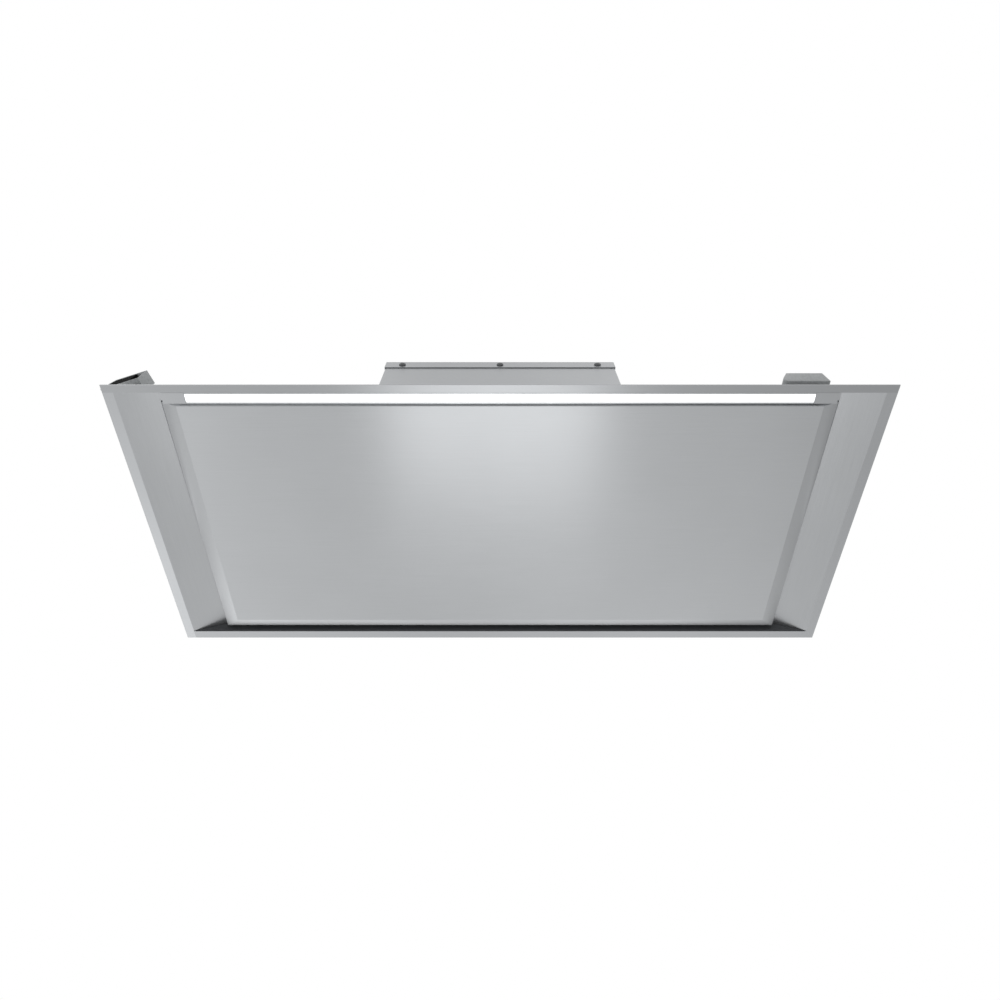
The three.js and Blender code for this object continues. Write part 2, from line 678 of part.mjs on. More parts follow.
// Clamps near the corners: screw on a foot, threaded sleeve, and a channel that swings out over the board
const frontClampY = nearEdge + 14.5;
const leftClampX = cheekOuter - 10;
const rearClampX = plenumHalf + 16.5;
const rearClampY = rearOpening - 7.5;
const footSheet = 2;
const clampScrew = 3;
const screwEnd = 1.5; // screw showing above its clamp
const clampRise = 24;
const clampSheet = 1.4;
const clampReach = 49;
const clampTail = 7;
const clampSlope = 14; // the tip's upper edge stands back by this
const clampHalf = 8.5;
const sleeveOuter = clampTail - clampSheet - fit;
const sleeveRise = clampRise - 2 * clampSheet - 2 * fit;
const swungTurn = (197 * Math.PI) / 180;

// Channel along -X from the screw, open at its sloping tip and on one long side (+1 for +Y, -1 for -Y)
function clampChannel(opening) {
  const side = outlineShape([
    [-clampReach, 0],
    [clampTail, 0],
    [clampTail, clampRise],
    [-clampReach + clampSlope, clampRise],
  ]);
  const body = new THREE.ExtrudeGeometry(side, { depth: 2 * clampHalf, bevelEnabled: false });
  body.rotateX(Math.PI / 2).translate(0, clampHalf, 0);
  const [y0, y1] = opening > 0 ? [-clampHalf + clampSheet, clampHalf + 1] : [-clampHalf - 1, clampHalf - clampSheet];
  const hollow = block(-clampReach - 1, clampTail - clampSheet, y0, y1, clampSheet, clampRise - clampSheet);
  return cut(body, hollow, rod(clampScrew + fit, -1, clampRise + 1, 20));
}

function addClamp(corner, x, y, footBox, footLow, lift, turn, opening) {
  const rest = footLow + footSheet + fit + lift;
  const screw = join(
    block(...footBox, footLow, footLow + footSheet),
    rod(clampScrew, footLow, rest + clampRise + screwEnd, 16),
  );
  add(`${corner}_clamp_screw`, screw, zinc, [x, y, 0]);
  const sleeveBase = rest + clampSheet + fit;
  const sleeve = tube(sleeveOuter, clampScrew + fit, sleeveBase, sleeveBase + sleeveRise, 20);
  add(`${corner}_clamp_sleeve`, sleeve, blackPlastic, [x, y, 0]);
  add(`${corner}_clamp`, clampChannel(opening), zinc, [x, y, rest]).rotation.z = turn;
}
const frontFoot = cheekRise + trimSheet + fit;
const rearFoot = lipTop + railSheet + fit;
addClamp('front_left', -leftClampX, frontClampY, [-8, 42, -6.5, 8.5], frontFoot, 12, Math.PI - swungTurn, -1);
addClamp('front_right', rightClampX, frontClampY, [-12, 12, -6.5, 8.5], frontFoot, 7, 0, 1);
addClamp('rear_left', -rearClampX, rearClampY, [-10, 10, -8.5, 8.5], rearFoot, 8, Math.PI / 2, -1);
addClamp('rear_right', rearClampX, rearClampY, [-10, 10, -8.5, 8.5], rearFoot, 8, Math.PI / 2, 1);

export default hood;
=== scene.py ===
import json
from math import radians, pi
import bpy
import bmesh
from mathutils import Matrix, Vector


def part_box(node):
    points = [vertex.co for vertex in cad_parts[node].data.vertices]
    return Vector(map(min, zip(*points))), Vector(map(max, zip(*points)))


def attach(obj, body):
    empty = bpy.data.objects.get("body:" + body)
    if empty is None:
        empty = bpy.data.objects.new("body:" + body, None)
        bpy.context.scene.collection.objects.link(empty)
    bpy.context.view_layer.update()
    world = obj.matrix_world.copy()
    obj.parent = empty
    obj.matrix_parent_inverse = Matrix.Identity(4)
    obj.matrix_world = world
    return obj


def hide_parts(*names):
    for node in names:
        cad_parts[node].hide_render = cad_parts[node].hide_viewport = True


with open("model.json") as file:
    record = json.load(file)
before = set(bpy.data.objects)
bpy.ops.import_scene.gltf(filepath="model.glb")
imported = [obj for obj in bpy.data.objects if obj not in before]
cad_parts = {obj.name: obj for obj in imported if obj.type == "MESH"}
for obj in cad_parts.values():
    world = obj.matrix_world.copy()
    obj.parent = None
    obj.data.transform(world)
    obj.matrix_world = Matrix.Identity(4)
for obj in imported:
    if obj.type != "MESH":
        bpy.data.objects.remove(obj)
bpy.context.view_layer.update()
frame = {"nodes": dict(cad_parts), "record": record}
scene = bpy.context.scene
print("frame loaded")


def colour(code, alpha=1.0):
    # sRGB hex to the linear values that the sockets take
    parts = [int(code[i:i + 2], 16) / 255 for i in (1, 3, 5)]
    return [p / 12.92 if p <= 0.04045 else ((p + 0.055) / 1.055) ** 2.4 for p in parts] + [alpha]


def shade(tone, share):
    # the same colour, lighter or darker
    return [part * share for part in colour(tone)[:3]] + [1]


def grey(value):
    return (value, value, value, 1)


# camera: below and in front of the hood, looking up
view = {"place": (0.0, -0.4723, -0.6757), "pitch": 57.4, "lens": 23.65, "sensor": 36, "reach": 50}
cameraData = bpy.data.cameras.new("camera")
cameraData.lens = view["lens"]
cameraData.sensor_width = view["sensor"]
cameraData.clip_end = view["reach"]
camera = bpy.data.objects.new("camera", cameraData)
camera.location = view["place"]
camera.rotation_euler = (radians(90 + view["pitch"]), 0, 0)
scene.collection.objects.link(camera)
scene.camera = camera
scene.view_settings.view_transform = "Standard"
print("camera placed")


def newMaterial(name):
    material = bpy.data.materials.new(name)
    material.use_nodes = True
    material.node_tree.nodes.clear()
    return material


def addNode(tree, kind, settings=None, links=None):
    # settings: attribute or input values; links: input name to output socket
    node = tree.nodes.new(kind)
    for key, value in (settings or {}).items():
        if isinstance(key, int) or key in node.inputs:
            node.inputs[key].default_value = value
        else:
            setattr(node, key, value)
    for key, socket in (links or {}).items():
        tree.links.new(socket, node.inputs[key])
    return node


def setRamp(node, stops):
    ramp = node.color_ramp
    ramp.elements[0].position, ramp.elements[0].color = stops[0]
    ramp.elements[1].position, ramp.elements[1].color = stops[-1]
    for position, value in stops[1:-1]:
        ramp.elements.new(position).color = value


# brushed stainless sheet; one scratch is about 0.35 mm wide and some 60 mm long
brushing = {"scale": 1.0, "detail": 4.0, "mix": 0.65, "dull": (-0.05, 0.07), "shades": (0.95, 1.04),
            "cloudScale": 9.0, "cloudShade": 0.975, "depth": 0.0002, "bump": 0.05}
grainAlongX = (16, 2800, 2800)
grainAlongY = (2800, 16, 2800)

# painted shade darkens the near flange, and painted light lightens the left flange towards the rear
paintedFlangeLight = {"nearInner": (-0.1812, -0.1806), "nearPaintedShade": 0.87,
           "leftInner": (-0.4285, -0.4279), "leftSpan": (-0.19, 0.06), "leftPaintedLight": 0.25}


def paintFlangeLightAndShade(tree, place, steel):
    spot = addNode(tree, "ShaderNodeSeparateXYZ", None, {0: place.outputs["Object"]})
    # painted shade on the near flange
    low, high = paintedFlangeLight["nearInner"]
    near = addNode(tree, "ShaderNodeMapRange",
                   {"From Min": low, "From Max": high, "To Min": paintedFlangeLight["nearPaintedShade"], "To Max": 1.0},
                   {"Value": spot.outputs["Y"]})
    darker = addNode(tree, "ShaderNodeMix", {"data_type": "RGBA", "blend_type": "MULTIPLY", "Factor": 1.0},
                     {6: steel, 7: near.outputs[0]})
    # painted light on the left flange, growing towards the rear
    low, high = paintedFlangeLight["leftInner"]
    onLeft = addNode(tree, "ShaderNodeMapRange",
                     {"From Min": low, "From Max": high, "To Min": 1.0, "To Max": 0.0},
                     {"Value": spot.outputs["X"]})
    low, high = paintedFlangeLight["leftSpan"]
    rearward = addNode(tree, "ShaderNodeMapRange",
                       {"From Min": low, "From Max": high, "To Min": 0.0, "To Max": paintedFlangeLight["leftPaintedLight"]},
                       {"Value": spot.outputs["Y"]})
    gain = addNode(tree, "ShaderNodeMath", {"operation": "MULTIPLY_ADD", 2: 1.0},
                   {0: onLeft.outputs[0], 1: rearward.outputs[0]})
    lighter = addNode(tree, "ShaderNodeMix", {"data_type": "RGBA", "blend_type": "MULTIPLY", "Factor": 1.0},
                      {6: darker.outputs[2], 7: gain.outputs[0]})
    return lighter.outputs[2]


# sheet steel: fine long scratches, faint cloudiness and a highlight that can be stretched
def brushedSteel(name, tone, grain, roughness, anisotropy, withPaintedFlangeLight=False):
    material = newMaterial(name)
    tree = material.node_tree
    place = addNode(tree, "ShaderNodeTexCoord")
    stretch = addNode(tree, "ShaderNodeMapping", {"Scale": grain}, {"Vector": place.outputs["Object"]})
    scratch = addNode(tree, "ShaderNodeTexNoise",
                      {"Scale": brushing["scale"], "Detail": brushing["detail"], "Roughness": brushing["mix"]},
                      {"Vector": stretch.outputs[0]})
    cloud = addNode(tree, "ShaderNodeTexNoise",
                    {"Scale": brushing["cloudScale"], "Detail": 2.0, "Roughness": 0.5},
                    {"Vector": place.outputs["Object"]})
    shine = addNode(tree, "ShaderNodeValToRGB", None, {"Fac": scratch.outputs["Fac"]})
    low, high = brushing["dull"]
    setRamp(shine, [(0.3, grey(roughness + low)), (0.7, grey(roughness + high))])
    light = addNode(tree, "ShaderNodeValToRGB", None, {"Fac": scratch.outputs["Fac"]})
    low, high = brushing["shades"]
    setRamp(light, [(0.28, shade(tone, low)), (0.72, shade(tone, high))])
    drift = addNode(tree, "ShaderNodeValToRGB", None, {"Fac": cloud.outputs["Fac"]})
    setRamp(drift, [(0.3, grey(brushing["cloudShade"])), (0.7, grey(1.0))])
    tint = addNode(tree, "ShaderNodeMix", {"data_type": "RGBA", "blend_type": "MULTIPLY", "Factor": 1.0},
                   {6: light.outputs["Color"], 7: drift.outputs["Color"]})
    steel = tint.outputs[2]
    # painted shade on the near flange and painted light on the left flange
    if withPaintedFlangeLight:
        steel = paintFlangeLightAndShade(tree, place, steel)
    bump = addNode(tree, "ShaderNodeBump", {"Strength": brushing["bump"], "Distance": brushing["depth"]},
                   {"Height": scratch.outputs["Fac"]})
    # the highlight spreads across the grain, which runs along X
    across = addNode(tree, "ShaderNodeTangent", {"direction_type": "RADIAL", "axis": "X"})
    shader = addNode(tree, "ShaderNodeBsdfPrincipled", {"Metallic": 1.0, "Anisotropic": anisotropy},
                     {"Base Color": steel, "Roughness": shine.outputs["Color"],
                      "Normal": bump.outputs["Normal"], "Tangent": across.outputs[0]})
    addNode(tree, "ShaderNodeOutputMaterial", None, {"Surface": shader.outputs[0]})
    return material


# zinc-coated or anodised sheet: soft crystals, each 1 / crystals metres across, and dull patches of 40 mm
coating = {"shades": (1.06, 0.88), "patches": 25.0, "detail": 4.0, "dull": (-0.06, 0.1)}


def zincSheet(name, tone, roughness, metallic, crystals):
    material = newMaterial(name)
    tree = material.node_tree
    place = addNode(tree, "ShaderNodeTexCoord")
    cells = addNode(tree, "ShaderNodeTexVoronoi", {"Scale": crystals}, {"Vector": place.outputs["Object"]})
    patches = addNode(tree, "ShaderNodeTexNoise", {"Scale": coating["patches"], "Detail": coating["detail"]},
                      {"Vector": place.outputs["Object"]})
    tint = addNode(tree, "ShaderNodeValToRGB", None, {"Fac": cells.outputs["Distance"]})
    middle, border = coating["shades"]
    setRamp(tint, [(0.0, shade(tone, middle)), (0.9, shade(tone, border))])
    dullness = addNode(tree, "ShaderNodeValToRGB", None, {"Fac": patches.outputs["Fac"]})
    low, high = coating["dull"]
    setRamp(dullness, [(0.3, grey(roughness + low)), (0.7, grey(roughness + high))])
    shader = addNode(tree, "ShaderNodeBsdfPrincipled", {"Metallic": metallic},
                     {"Base Color": tint.outputs["Color"], "Roughness": dullness.outputs["Color"]})
    addNode(tree, "ShaderNodeOutputMaterial", None, {"Surface": shader.outputs[0]})
    return material


# moulded plastic, foam, and the dark surfaces drawn as painted shade: pebbles 1 / pebbles metres across, drawn
# coarser than the real skin so that they can be seen
skinLook = {"shades": (0.9, 1.1), "detail": 3.0, "depth": 0.0003}


def grained(name, tone, roughness, pebbles, strength, gloss=0.5):
    material = newMaterial(name)
    tree = material.node_tree
    place = addNode(tree, "ShaderNodeTexCoord")
    skin = addNode(tree, "ShaderNodeTexNoise", {"Scale": pebbles, "Detail": skinLook["detail"]},
                   {"Vector": place.outputs["Object"]})
    tint = addNode(tree, "ShaderNodeValToRGB", None, {"Fac": skin.outputs["Fac"]})
    low, high = skinLook["shades"]
    setRamp(tint, [(0.3, shade(tone, low)), (0.7, shade(tone, high))])
    bump = addNode(tree, "ShaderNodeBump", {"Strength": strength, "Distance": skinLook["depth"]},
                   {"Height": skin.outputs["Fac"]})
    shader = addNode(tree, "ShaderNodeBsdfPrincipled", {"Roughness": roughness, "Specular IOR Level": gloss},
                     {"Base Color": tint.outputs["Color"], "Normal": bump.outputs["Normal"]})
    addNode(tree, "ShaderNodeOutputMaterial", None, {"Surface": shader.outputs[0]})
    return material


# expanded aluminium: openings 4 mm long and 2.4 mm wide, drawn dark between the strands as painted shade for the
# space seen through them
openings = {"perMetre": (250, 420, 250), "strand": 0.1, "hollow": 0.22, "openingPaintedShade": 0.12,
            "metallic": 0.8, "roughness": 0.42}


def filterMesh(name, tone):
    material = newMaterial(name)
    tree = material.node_tree
    place = addNode(tree, "ShaderNodeTexCoord")
    squeeze = addNode(tree, "ShaderNodeMapping", {"Scale": openings["perMetre"]},
                      {"Vector": place.outputs["Object"]})
    cells = addNode(tree, "ShaderNodeTexVoronoi", {"Scale": 1.0, "feature": "DISTANCE_TO_EDGE"},
                    {"Vector": squeeze.outputs[0]})
    tint = addNode(tree, "ShaderNodeValToRGB", None, {"Fac": cells.outputs["Distance"]})
    # painted shade: the openings darkened
    setRamp(tint, [(openings["strand"], colour(tone)),
                   (openings["hollow"], shade(tone, openings["openingPaintedShade"]))])
    shader = addNode(tree, "ShaderNodeBsdfPrincipled",
                     {"Metallic": openings["metallic"], "Roughness": openings["roughness"]},
                     {"Base Color": tint.outputs["Color"]})
    addNode(tree, "ShaderNodeOutputMaterial", None, {"Surface": shader.outputs[0]})
    return material


# frosted light cover: only its underside glows, and the glow fades over 0.9 mm before each long side
glowStrip = {"middle": -0.1741, "fade": (0.0041, 0.005), "edgeGlow": 0.05, "downward": -0.7,
             "power": 1.15, "frost": 900.0}


def litCover(name):
    material = newMaterial(name)
    tree = material.node_tree
    place = addNode(tree, "ShaderNodeTexCoord")
    frost = addNode(tree, "ShaderNodeTexNoise", {"Scale": glowStrip["frost"], "Detail": 2.0},
                    {"Vector": place.outputs["Object"]})
    glow = addNode(tree, "ShaderNodeValToRGB", None, {"Fac": frost.outputs["Fac"]})
    setRamp(glow, [(0.2, colour("#fbfcff")), (0.8, colour("#ffffff"))])
    facing = addNode(tree, "ShaderNodeNewGeometry")
    normal = addNode(tree, "ShaderNodeSeparateXYZ", None, {0: facing.outputs["Normal"]})
    down = addNode(tree, "ShaderNodeMath", {"operation": "LESS_THAN", 1: glowStrip["downward"]},
                   {0: normal.outputs["Z"]})
    spot = addNode(tree, "ShaderNodeSeparateXYZ", None, {0: place.outputs["Object"]})
    offset = addNode(tree, "ShaderNodeMath", {"operation": "SUBTRACT", 1: glowStrip["middle"]},
                     {0: spot.outputs["Y"]})
    away = addNode(tree, "ShaderNodeMath", {"operation": "ABSOLUTE"}, {0: offset.outputs[0]})
    low, high = glowStrip["fade"]
    fade = addNode(tree, "ShaderNodeMapRange",
                   {"From Min": low, "From Max": high, "To Min": 1.0, "To Max": glowStrip["edgeGlow"]},
                   {"Value": away.outputs[0]})
    share = addNode(tree, "ShaderNodeMath", {"operation": "MULTIPLY"}, {0: down.outputs[0], 1: fade.outputs[0]})
    lit = addNode(tree, "ShaderNodeMix", {"data_type": "RGBA", 6: (0, 0, 0, 1)},
                  {0: share.outputs[0], 7: glow.outputs["Color"]})
    shader = addNode(tree, "ShaderNodeBsdfPrincipled", {"Roughness": 0.5, "Emission Strength": glowStrip["power"]},
                     {"Base Color": glow.outputs["Color"], "Emission Color": lit.outputs[2]})
    addNode(tree, "ShaderNodeOutputMaterial", None, {"Surface": shader.outputs[0]})
    return material


finishes = {
    # satin stainless sheet, brushed along the panel: a soft streak across a mid grey
    "satin_steel": brushedSteel("satin_stainless_grain", "#b3b5b7", grainAlongX, roughness=0.36, anisotropy=0.7),
    # hot-dip galvanised sheet: crystals 5.6 mm across, dull blue-grey
    "galvanised": zincSheet("galvanised_sheet", "#a9afb1", roughness=0.45, metallic=1.0, crystals=180.0),
    # dark grey rear rail, its colour painted shade: the shadow line behind the panel
    "dark_paint": grained("rail_painted_shade", "#404245", roughness=0.45, pebbles=900.0, strength=0.2),
    # anodised aluminium: an even pale grey, its grain drawn 1.4 mm across so that it can be seen
    "aluminium": zincSheet("anodised_aluminium", "#c6c9cb", roughness=0.38, metallic=1.0, crystals=700.0),
    # moulded plastics with a fine spark-eroded skin: matt, near black and mid grey
    "black_plastic": grained("black_moulded_plastic", "#242628", roughness=0.5, pebbles=1400.0, strength=0.15),
    "grey_plastic": grained("grey_moulded_plastic", "#8d9194", roughness=0.5, pebbles=1200.0, strength=0.15),
    # frosted light cover, lit: plain white from below
    "opal_cover": litCover("frosted_lit_cover"),
    # solder mask over glass fibre: a slightly glossy green
    "circuit_board": grained("green_solder_mask", "#2f6a46", roughness=0.35, pebbles=600.0, strength=0.1),
    # bright zinc plate: crystals 2.4 mm across, paler and sharper than the galvanised sheet
    "zinc": zincSheet("bright_zinc_plate", "#bfc2c3", roughness=0.32, metallic=1.0, crystals=420.0),
}
meshFinish = filterMesh("expanded_aluminium", "#c3c6c7")
# trim frame: the same stainless sheet, with painted shade on the near flange and painted light on the left flange
trimFinish = brushedSteel("satin_stainless_trim", "#b1b3b5", grainAlongY, roughness=0.33, anisotropy=0.0,
                          withPaintedFlangeLight=True)
# motor tower and its cover: the same sheet, seen from all round, so without a stretched highlight
towerFinish = brushedSteel("satin_stainless_tower", "#b3b5b7", grainAlongX, roughness=0.36, anisotropy=0.0)
# clamps: dull zinc-plated sheet, pale grey with hardly any mirror
clampFinish = zincSheet("dull_zinc_plate", "#b0b3b4", roughness=0.55, metallic=0.35, crystals=420.0)
# cover screws: blackened steel, a soft dark grey dot
screwFinish = grained("blackened_steel", "#5a5c5e", roughness=0.5, pebbles=1500.0, strength=0.1)
# clamp blocks: near-black and matt, nearly without a highlight; painted shade for the shaded inside of each
# channel
shadeBlockFinish = grained("painted_shade_clamp_block", "#131415", roughness=0.9, pebbles=1400.0, strength=0.15, gloss=0.08)
# corner seals: cut open-cell foam, dull dark grey
foamFinish = grained("grey_foam", "#5c5e60", roughness=0.95, pebbles=700.0, strength=0.6, gloss=0.1)

ownFinish = {"left_filter_mesh": meshFinish, "right_filter_mesh": meshFinish, "trim_frame": trimFinish,
             "left_lamp_end": trimFinish, "right_lamp_end": trimFinish, "motor_tower": towerFinish,
             "tower_cover": towerFinish}
slotOf = {part["node"]: part["material_slot"] for part in frame["record"]["subparts"]}
for name, node in frame["nodes"].items():
    finish = ownFinish.get(name, finishes[slotOf[name]])
    if not node.material_slots:
        node.data.materials.append(finish)
    for holder in node.material_slots:
        holder.material = finish
print("materials set")


# small rounded edges on the sheet parts that stay as they are
edgeRound = {"trim_frame": 0.0004, "tower_cover": 0.0005, "motor_tower": 0.0003,
             "left_lamp_end": 0.0004, "right_lamp_end": 0.0004}
for name, width in edgeRound.items():
    bevel = frame["nodes"][name].modifiers.new("soft_edges", "BEVEL")
    bevel.width = width
    bevel.segments = 2
    bevel.limit_method = "ANGLE"
    bevel.angle_limit = radians(25)
    bevel.harden_normals = False
print("edges rounded")


sharpFold = radians(40)  # a flatter fold is shaded smooth


def finishPiece(bm, name, material, body, replaced=()):
    mesh = bpy.data.meshes.new(name)
    bmesh.ops.recalc_face_normals(bm, faces=bm.faces)
    bm.to_mesh(mesh)
    bm.free()
    piece = bpy.data.objects.new(name, mesh)
    scene.collection.objects.link(piece)
    mesh.materials.append(material)
    for polygon in mesh.polygons:
        polygon.use_smooth = True
    mesh.set_sharp_from_angle(angle=sharpFold)
    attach(piece, body)
    if replaced:
        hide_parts(*replaced)
    return piece


def roundEdges(bm, edges, width, steps):
    bmesh.ops.bevel(bm, geom=edges, offset=width, segments=steps, profile=0.5, affect="EDGES", material=-1,
                    clamp_overlap=True)


# cover panel: a flat face inside folded rims that slope up and then stand upright
panel = {"half": 0.361, "near": -0.162, "rear": 0.1552,  # flat face
         "rise": 0.005, "rearRise": 0.0036,  # slope of the rims
         "grow": 0.0009, "nearGrow": 0.0013, "rearTrim": 0.0012,  # rim against the solid's
         "sheet": 0.0012, "fold": 0.0022, "edgeFold": 0.0007}


def ring(bm, x0, x1, y0, y1, z):
    corners = [bm.verts.new(p) for p in ((x0, y0, z), (x1, y0, z), (x1, y1, z), (x0, y1, z))]
    for i in range(4):
        bm.edges.new((corners[i - 1], corners[i]))
    return corners


def edgesWithin(bm, verts):
    return [e for e in bm.edges if all(v in verts for v in e.verts)]


def makePanel():
    low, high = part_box("cover_panel")
    x0, x1 = low[0] - panel["grow"], high[0] + panel["grow"]
    y0, y1 = low[1] - panel["nearGrow"], high[1] - panel["rearTrim"]
    z0, z1 = low[2], high[2]
    half, near, rear, t = panel["half"], panel["near"], panel["rear"], panel["sheet"]
    bm = bmesh.new()
    face = ring(bm, -half, half, near, rear, z0)
    edge = ring(bm, x0, x1, y0, y1, z0 + panel["rise"])
    for corner in edge[2:]:
        corner.co.z = z0 + panel["rearRise"]
    top = ring(bm, x0, x1, y0, y1, z1)
    innerTop = ring(bm, x0 + t, x1 - t, y0 + t, y1 - t, z1)
    innerEdge = ring(bm, x0 + t, x1 - t, y0 + t, y1 - t, z0 + panel["rise"] + t / 2)
    innerFace = ring(bm, -half + t / 2, half - t / 2, near + t / 2, rear - t / 2, z0 + t)
    rings = (face, edge, top, innerTop, innerEdge, innerFace)
    for a, b in zip(rings, rings[1:]):
        bmesh.ops.bridge_loops(bm, edges=edgesWithin(bm, a) + edgesWithin(bm, b))
    bm.faces.new(face)
    bm.faces.new(innerFace)
    folds = edgesWithin(bm, face) + edgesWithin(bm, edge[:2])
    roundEdges(bm, [e for e in edgesWithin(bm, edge) if e not in folds], panel["edgeFold"], 3)
    roundEdges(bm, [e for e in folds if e.is_valid], panel["fold"], 4)
    return finishPiece(bm, "cover_panel_sheet", finishes["satin_steel"], "cover",
                       ("cover_panel",))


makePanel()
print("cover panel made")


# three screws in the front of the tower cover's skirt: low heads, flat in the middle with a sloping rim
screws = {"pitch": 0.149, "up": 0.0095, "radius": 0.0052, "height": 0.0024, "flat": 0.6, "rim": 0.45,
          "steps": 28}


def makeScrew(index):
    low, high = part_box("tower_cover")
    radius, height = screws["radius"], screws["height"]
    bm = bmesh.new()
    profile = [(0.0, -height), (radius * screws["flat"], -height), (radius, -height * screws["rim"]),
               (radius, 0.0), (0.0, 0.0)]
    points = [bm.verts.new((r, y, 0)) for r, y in profile]
    edges = [bm.edges.new(pair) for pair in zip(points, points[1:])]
    bmesh.ops.spin(bm, geom=points + edges, cent=(0, 0, 0), axis=(0, 1, 0), angle=2 * pi, steps=screws["steps"],
                   use_merge=True, use_duplicate=False)
    bmesh.ops.remove_doubles(bm, verts=bm.verts, dist=1e-6)
    centre = ((index - 1) * screws["pitch"], low[1], low[2] + screws["up"])
    bmesh.ops.translate(bm, verts=bm.verts, vec=centre)
    return finishPiece(bm, "cover_screw_%d" % index, screwFinish, "housing")


for index in range(3):
    makeScrew(index)
print("screws made")


# clamps: where each channel turns on its screw, its turn in degrees, and the side on which it is open
clamps = {"front_left": {"place": (-0.418, -0.1755, 0.0311), "turn": -17, "open": -1},
          "front_right": {"place": (0.369, -0.1755, 0.0261), "turn": 0, "open": 1},
          "rear_left": {"place": (-0.404, 0.1705, 0.0358), "turn": 90, "open": -1},
          "rear_right": {"place": (0.404, 0.1705, 0.0358), "turn": 90, "open": 1}}
channel = {"reach": 0.049, "tail": 0.007, "rise": 0.024, "half": 0.0085, "slope": 0.014, "sheet": 0.0014,
           "tipRound": 0.011, "edge": 0.0004}
# a near-black block, painted shade for the channel's shaded inside, fills the channel nearly to its mouth and
# stops short of the screw
shadeBlock = {"inner": 0.0062, "gap": 0.0001, "set": 0.0004, "tipSheets": 1.3}


def block(outline, near, far, tipRound):
    # a solid between two planes across the channel, with its lower tip rounded
    bm = bmesh.new()
    wall = bm.faces.new([bm.verts.new((u, near, v)) for u, v in outline])
    grown = bmesh.ops.extrude_face_region(bm, geom=[wall])["geom"]
    moved = [g for g in grown if isinstance(g, bmesh.types.BMVert)]
    bmesh.ops.translate(bm, verts=moved, vec=(0, far - near, 0))
    tip = min(bm.edges, key=lambda e: e.verts[0].co.x + e.verts[1].co.x)
    roundEdges(bm, [tip], tipRound, 5)
    return bm


def setClamp(bm, corner):
    turn = Matrix.Rotation(radians(clamps[corner]["turn"]), 3, "Z")
    bmesh.ops.rotate(bm, verts=bm.verts, cent=(0, 0, 0), matrix=turn)
    bmesh.ops.translate(bm, verts=bm.verts, vec=clamps[corner]["place"])


def makeChannel(corner):
    side = clamps[corner]["open"]
    half, sheet, reach, tail, rise = [channel[k] for k in ("half", "sheet", "reach", "tail", "rise")]
    outline = [(-reach, 0), (tail, 0), (tail, rise), (channel["slope"] - reach, rise)]
    bm = block(outline, -side * half, side * half, channel["tipRound"])
    bmesh.ops.recalc_face_normals(bm, faces=bm.faces)
    mouth = max(bm.faces, key=lambda f: side * f.calc_center_median().y)
    bmesh.ops.inset_region(bm, faces=[mouth], thickness=sheet)
    back = bmesh.ops.extrude_discrete_faces(bm, faces=[mouth])["faces"][0]
    bmesh.ops.translate(bm, verts=back.verts, vec=(0, side * (sheet - 2 * half), 0))
    bm.normal_update()
    roundEdges(bm, [e for e in bm.edges if e.is_manifold and e.calc_face_angle() > sharpFold],
               channel["edge"], 2)
    setClamp(bm, corner)
    return finishPiece(bm, corner + "_clamp_channel", clampFinish, corner + "_dog",
                       (corner + "_clamp",))


# painted shade: a near-black block inside the clamp channel
def makeShadeBlock(corner):
    side = clamps[corner]["open"]
    half, sheet = channel["half"], channel["sheet"]
    low = sheet + shadeBlock["gap"]
    high = channel["rise"] - low
    lean = channel["slope"] / channel["rise"]
    start = -channel["reach"] + sheet * shadeBlock["tipSheets"]
    outline = [(start + low * lean, low), (-shadeBlock["inner"], low), (-shadeBlock["inner"], high),
               (start + high * lean, high)]
    bm = block(outline, -side * (half - sheet - shadeBlock["gap"]), side * (half - shadeBlock["set"]),
               channel["tipRound"] - sheet)
    setClamp(bm, corner)
    return finishPiece(bm, corner + "_clamp_painted_shade", shadeBlockFinish, corner + "_dog")


for corner in clamps:
    makeChannel(corner)
    makeShadeBlock(corner)
print("clamps made")


# foam seals that close the near corners of the opening below the clamps; the left one mirrors the right one
seal = {"middle": (0.388, -0.16535, 0.0177), "size": (0.004, 0.0103, 0.0022)}
for name, side in (("left_corner_seal", -1), ("right_corner_seal", 1)):
    x, y, z = seal["middle"]
    bm = bmesh.new()
    bmesh.ops.create_cube(bm, size=1)
    bmesh.ops.scale(bm, verts=bm.verts, vec=seal["size"])
    bmesh.ops.translate(bm, verts=bm.verts, vec=(side * x, y, z))
    finishPiece(bm, name, foamFinish, "housing")
print("corner seals made")


# pale matt floor far below the hood
floorLook = {"level": -1.75, "size": 15, "tone": "#f2f2f2", "roughness": 0.9}
floorBm = bmesh.new()
bmesh.ops.create_grid(floorBm, x_segments=1, y_segments=1, size=floorLook["size"])
bmesh.ops.translate(floorBm, verts=floorBm.verts, vec=(0, 0, floorLook["level"]))
floorMesh = bpy.data.meshes.new("floor")
floorBm.to_mesh(floorMesh)
floorBm.free()
floor = bpy.data.objects.new("floor", floorMesh)
scene.collection.objects.link(floor)
floorFinish = newMaterial("pale_floor")
floorShader = addNode(floorFinish.node_tree, "ShaderNodeBsdfPrincipled",
                      {"Base Color": colour(floorLook["tone"]), "Roughness": floorLook["roughness"]})
addNode(floorFinish.node_tree, "ShaderNodeOutputMaterial", None, {"Surface": floorShader.outputs[0]})
floorMesh.materials.append(floorFinish)
# the metal mirrors the studio's own light, which the floor would hide
floor.visible_glossy = False


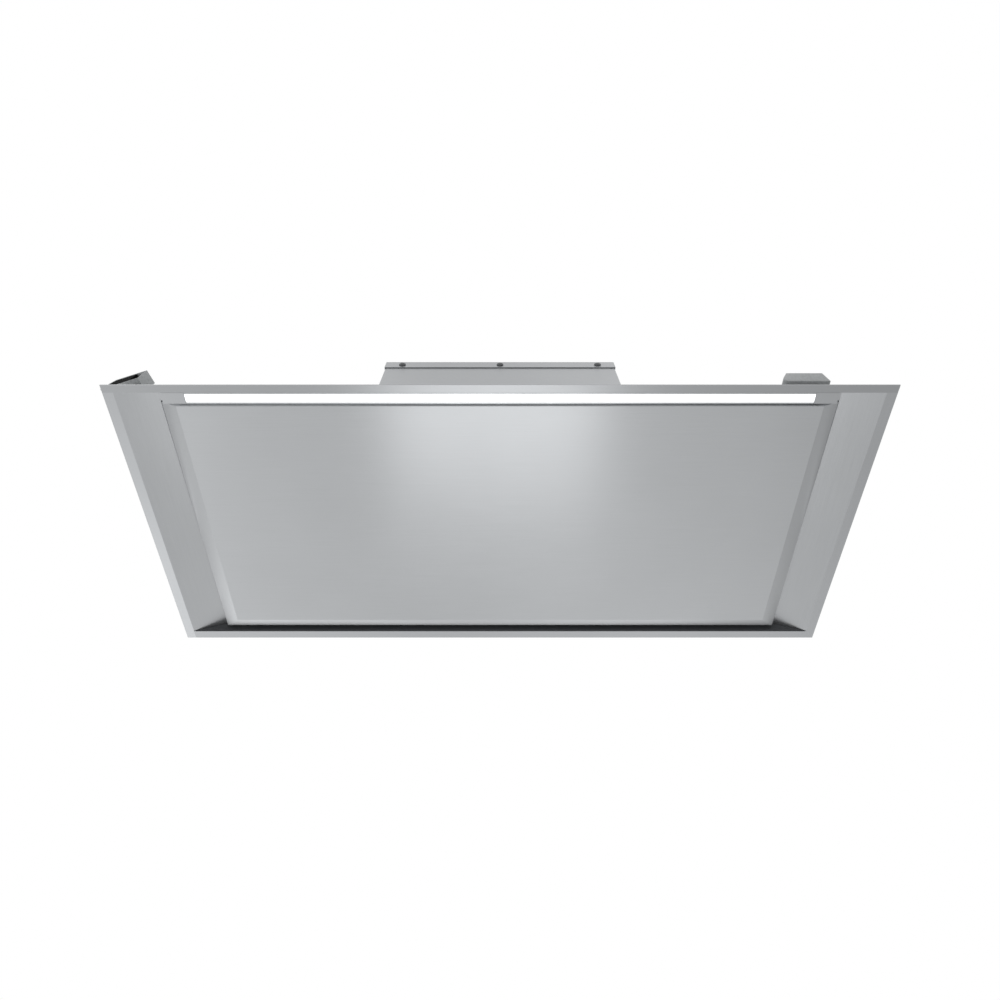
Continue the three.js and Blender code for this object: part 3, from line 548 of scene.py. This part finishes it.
# white studio; what the metal mirrors is a little brighter on the left and far ahead, and dim behind the camera
studio = {"soft": 0.72,
          "side": [(0.0, 0.98), (0.17, 1.0), (0.25, 1.5), (0.3, 1.02), (0.37, 0.99), (0.45, 0.75), (0.55, 0.9),
                   (0.61, 0.97), (0.68, 0.96), (0.77, 0.72), (1.0, 0.72)],
          "front": [(0.03, 0.3), (0.2, 1.18), (0.36, 1.16), (0.5, 1.0), (0.69, 0.87), (0.76, 0.98),
                    (0.84, 1.1), (0.9, 1.3), (0.95, 1.95), (1.0, 1.9)]}
world = bpy.data.worlds.new("studio")
scene.world = world
world.use_nodes = True
tree = world.node_tree
tree.nodes.clear()
seen = addNode(tree, "ShaderNodeLightPath")
heading = addNode(tree, "ShaderNodeTexCoord")
parts = addNode(tree, "ShaderNodeSeparateXYZ", None, {0: heading.outputs["Generated"]})
across = addNode(tree, "ShaderNodeMapRange", {"From Min": -1.0, "From Max": 1.0}, {"Value": parts.outputs["X"]})
side = addNode(tree, "ShaderNodeValToRGB", None, {"Fac": across.outputs[0]})
setRamp(side, [(at, grey(value)) for at, value in studio["side"]])
along = addNode(tree, "ShaderNodeMapRange", {"From Min": -1.0, "From Max": 1.0}, {"Value": parts.outputs["Y"]})
front = addNode(tree, "ShaderNodeValToRGB", None, {"Fac": along.outputs[0]})
setRamp(front, [(at, grey(value)) for at, value in studio["front"]])
studioTone = addNode(tree, "ShaderNodeMix", {"data_type": "RGBA", "blend_type": "MULTIPLY", "Factor": 1.0},
                     {6: side.outputs["Color"], 7: front.outputs["Color"]})
soft = addNode(tree, "ShaderNodeBackground", {"Color": colour("#ffffff"), "Strength": studio["soft"]})
mirrored = addNode(tree, "ShaderNodeBackground", {"Strength": 1.0}, {"Color": studioTone.outputs[2]})
white = addNode(tree, "ShaderNodeBackground", {"Color": colour("#ffffff"), "Strength": 1.0})
metals = addNode(tree, "ShaderNodeMixShader", None,
                 {0: seen.outputs["Is Glossy Ray"], 1: soft.outputs[0], 2: mirrored.outputs[0]})
clear = addNode(tree, "ShaderNodeMath", {"operation": "MAXIMUM"},
                {0: seen.outputs["Is Camera Ray"], 1: seen.outputs["Is Transmission Ray"]})
mixed = addNode(tree, "ShaderNodeMixShader", None,
                {0: clear.outputs[0], 1: metals.outputs[0], 2: white.outputs[0]})
addNode(tree, "ShaderNodeOutputWorld", None, {"Surface": mixed.outputs[0]})


# the first lamp makes the streak on the panel; the weak second one shows only in the panel's near fold
lamps = {"streak_lamp": {"place": (-0.012, -0.005, -0.52), "target": (-0.012, -0.005, 0),
                         "size": (0.42, 0.38), "power": 0.66},
         "fold_lamp": {"place": (0, -1.1, -0.25), "target": (0, -0.16, 0),
                       "size": (0.5, 0.2), "power": 0.16}}
for name, look in lamps.items():
    data = bpy.data.lights.new(name, "AREA")
    data.shape = "RECTANGLE"
    data.size, data.size_y = look["size"]
    data.energy = look["power"]
    lamp = bpy.data.objects.new(name, data)
    lamp.location = look["place"]
    lamp.rotation_euler = (Vector(look["target"]) - Vector(look["place"])).to_track_quat("-Z", "Y").to_euler()
    lamp.visible_camera = False
    scene.collection.objects.link(lamp)
print("stage lit")
